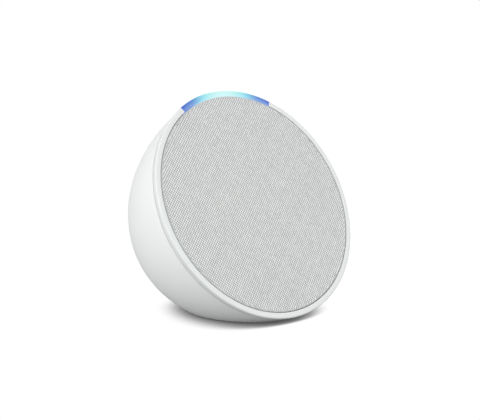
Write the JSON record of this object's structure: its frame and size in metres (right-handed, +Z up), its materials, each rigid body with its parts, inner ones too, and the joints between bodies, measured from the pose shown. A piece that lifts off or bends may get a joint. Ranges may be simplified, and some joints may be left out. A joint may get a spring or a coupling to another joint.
{
  "type": "smart speaker",
  "caption": "Compact smart speaker: a white moulded dome with a round fabric face that leans back, a lit arc in its trim ring, top buttons and a rear power socket.",
  "frame": {"origin": "on the table, under the middle of the speaker's bounding box", "axes": "+Z up, +X to the right seen from the front; the fabric face looks along -Y and leans back"},
  "size_m": [0.099, 0.0824, 0.0909],
  "materials": {
    "white_abs": "white moulded ABS, fine satin texture",
    "light_grey_knit": "light grey fine acoustic knit over a fleece backing",
    "black_abs": "black moulded ABS",
    "milky_polycarbonate": "milky diffusing polycarbonate, lit blue at its ends and pale cyan in the middle",
    "clear_polycarbonate": "clear moulded polycarbonate",
    "white_silicone_rubber": "white silicone rubber, matt",
    "black_rubber": "black butyl rubber",
    "black_paper_cone": "black pressed paper pulp",
    "resin_cloth": "resin-stiffened cotton cloth",
    "polyimide_film": "amber polyimide film",
    "copper_wire": "enamelled copper winding",
    "zinc_plated_steel": "zinc plated steel",
    "ferrite": "sintered ferrite, dark grey",
    "aluminium": "plain aluminium",
    "green_circuit_board": "glass-epoxy circuit board with green mask",
    "tinplate": "tin plated steel sheet",
    "grey_thermal_pad": "grey filled silicone pad",
    "black_foam": "closed-cell black foam",
    "led_package": "white LED package with a yellow-white lens",
    "nickel_plate": "nickel plated"
  },
  "bodies": {
    "housing": {"acoustic_chamber": "black_abs", "base_screw_1": "zinc_plated_steel", "base_screw_2": "zinc_plated_steel", "base_screw_3": "zinc_plated_steel", "board_screw_1": "zinc_plated_steel", "board_screw_2": "zinc_plated_steel", "button_carrier": "black_abs", "button_flex": "polyimide_film", "capacitor_1": "aluminium", "capacitor_2": "aluminium", "chassis_screw_1": "zinc_plated_steel", "chassis_screw_2": "zinc_plated_steel", "chassis_screw_3": "zinc_plated_steel", "chassis_screw_4": "zinc_plated_steel", "driver_basket": "zinc_plated_steel", "driver_gasket": "black_foam", "driver_magnet": "ferrite", "driver_screw_1": "zinc_plated_steel", "driver_screw_2": "zinc_plated_steel", "driver_screw_3": "zinc_plated_steel", "driver_screw_4": "zinc_plated_steel", "driver_spider": "resin_cloth", "driver_surround": "black_rubber", "driver_top_plate": "zinc_plated_steel", "driver_yoke": "zinc_plated_steel", "flex_cable": "polyimide_film", "front_baffle": "black_abs", "grille_fabric": "light_grey_knit", "grille_frame": "black_abs", "heat_spreader": "aluminium", "led_1": "led_package", "led_2": "led_package", "led_3": "led_package", "led_4": "led_package", "led_board": "green_circuit_board", "light_bar_lens": "milky_polycarbonate", "light_guide": "clear_polycarbonate", "main_board": "green_circuit_board", "mic_left": "nickel_plate", "mic_off_switch": "tinplate", "mic_right": "nickel_plate", "power_board": "green_circuit_board", "power_jack_housing": "black_abs", "power_jack_pin": "nickel_plate", "power_screw": "zinc_plated_steel", "rear_shell": "white_abs", "rubber_foot": "white_silicone_rubber", "shield_can": "tinplate", "speaker_lead": "black_rubber", "thermal_pad": "grey_thermal_pad", "trim_ring": "white_abs", "volume_down_switch": "tinplate", "volume_up_switch": "tinplate"},
    "cone": {"driver_cone": "black_paper_cone", "driver_dust_cap": "black_paper_cone", "voice_coil": "copper_wire", "voice_coil_former": "polyimide_film"},
    "volume_down": {"volume_down_button": "white_abs"},
    "mic_off": {"mic_off_button": "white_abs"},
    "volume_up": {"volume_up_button": "white_abs"}
  },
  "joints": [
    {"name": "volume_down_press", "type": "slide", "parent": "housing", "child": "volume_down", "axis": [0.3391, -0.6579, -0.6725], "range_m": [0, 0.0004], "stiffness_N_per_m": 2500, "deforming": ["volume_down_switch"]},
    {"name": "mic_off_press", "type": "slide", "parent": "housing", "child": "mic_off", "axis": [0, -0.686, -0.7276], "range_m": [0, 0.0004], "stiffness_N_per_m": 2500, "deforming": ["mic_off_switch"]},
    {"name": "volume_up_press", "type": "slide", "parent": "housing", "child": "volume_up", "axis": [-0.3391, -0.6579, -0.6725], "range_m": [0, 0.0004], "stiffness_N_per_m": 2500, "deforming": ["volume_up_switch"]},
    {"name": "cone_excursion", "type": "slide", "parent": "housing", "child": "cone", "axis": [0, -0.891, 0.454], "range_m": [-0.0015, 0.0015], "stiffness_N_per_m": 1300, "deforming": ["driver_surround", "driver_spider"]}
  ]
}
